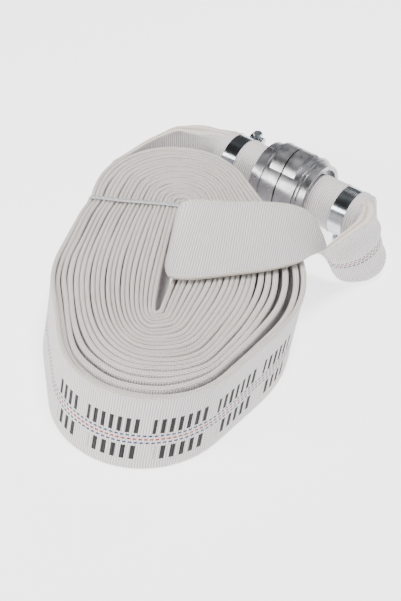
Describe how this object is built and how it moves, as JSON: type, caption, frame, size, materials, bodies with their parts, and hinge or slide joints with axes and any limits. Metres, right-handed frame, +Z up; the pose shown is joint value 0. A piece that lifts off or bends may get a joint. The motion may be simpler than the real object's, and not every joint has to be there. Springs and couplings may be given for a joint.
{
  "type": "rolled fire hose",
  "caption": "Flat-wound oval roll of white woven lay-flat fire hose, with both ends clamped to a joined aluminium claw coupling.",
  "frame": {"origin": "a point on the roll's lower face, near the middle of the roll, where it rests on the ground", "axes": "+Y along the roll's long axis towards the coupling, +Z up, +X to the side on which the inner end comes over the roll"},
  "size_m": [0.3478, 0.4578, 0.121],
  "materials": {
    "hose_canvas": "cream-white woven polyester jacket, matt",
    "tie_tape": "thin greyish plastic tape",
    "lining_rubber": "smooth black rubber lining",
    "seal_rubber": "black sealing rubber",
    "coupling_aluminium": "polished and lightly scuffed cast aluminium",
    "tail_aluminium": "turned aluminium",
    "spring_steel": "dull spring steel",
    "zinc_steel": "bright zinc-plated steel band",
    "bolt_steel": "zinc-plated steel bolt"
  },
  "bodies": {
    "root": {"hose_roll": "hose_canvas", "hose_inner_lead": "hose_canvas", "hose_outer_lead": "hose_canvas", "tie_strap": "tie_tape", "jacket_end_a": "hose_canvas", "jacket_end_b": "hose_canvas", "liner_end_a": "lining_rubber", "liner_end_b": "lining_rubber", "tailpiece_a": "tail_aluminium", "tailpiece_b": "tail_aluminium", "snap_ring_a": "spring_steel", "snap_ring_b": "spring_steel", "seal_a": "seal_rubber", "seal_b": "seal_rubber", "clamp_band_a": "zinc_steel", "clamp_band_b": "zinc_steel", "clamp_bridge_a": "zinc_steel", "clamp_bridge_b": "zinc_steel", "clamp_barrel_a": "bolt_steel", "clamp_barrel_b": "bolt_steel", "clamp_nut_a": "bolt_steel", "clamp_nut_b": "bolt_steel"},
    "head_a": {"lug_head_a": "coupling_aluminium"},
    "head_b": {"lug_head_b": "coupling_aluminium"},
    "bolt_a": {"clamp_bolt_a": "bolt_steel"},
    "bolt_b": {"clamp_bolt_b": "bolt_steel"}
  },
  "joints": [
    {"name": "coupling_swivel", "type": "hinge", "parent": "root", "child": "head_a", "pos_m": [0.096, 0.175, 0.05], "axis": [0.866, -0.5, 0], "continuous": true},
    {"name": "coupling_lock", "type": "hinge", "parent": "head_a", "child": "head_b", "pos_m": [0.096, 0.175, 0.05], "axis": [0.866, -0.5, 0], "range_deg": [0, 60]},
    {"name": "clamp_bolt_a_turn", "type": "hinge", "parent": "root", "child": "bolt_a", "pos_m": [0.04586, 0.24416, 0.05], "axis": [0, 0, 1], "continuous": true},
    {"name": "clamp_bolt_b_turn", "type": "hinge", "parent": "root", "child": "bolt_b", "pos_m": [0.16355, 0.136, 0.01518], "axis": [0.5, 0.866, 0], "continuous": true}
  ]
}
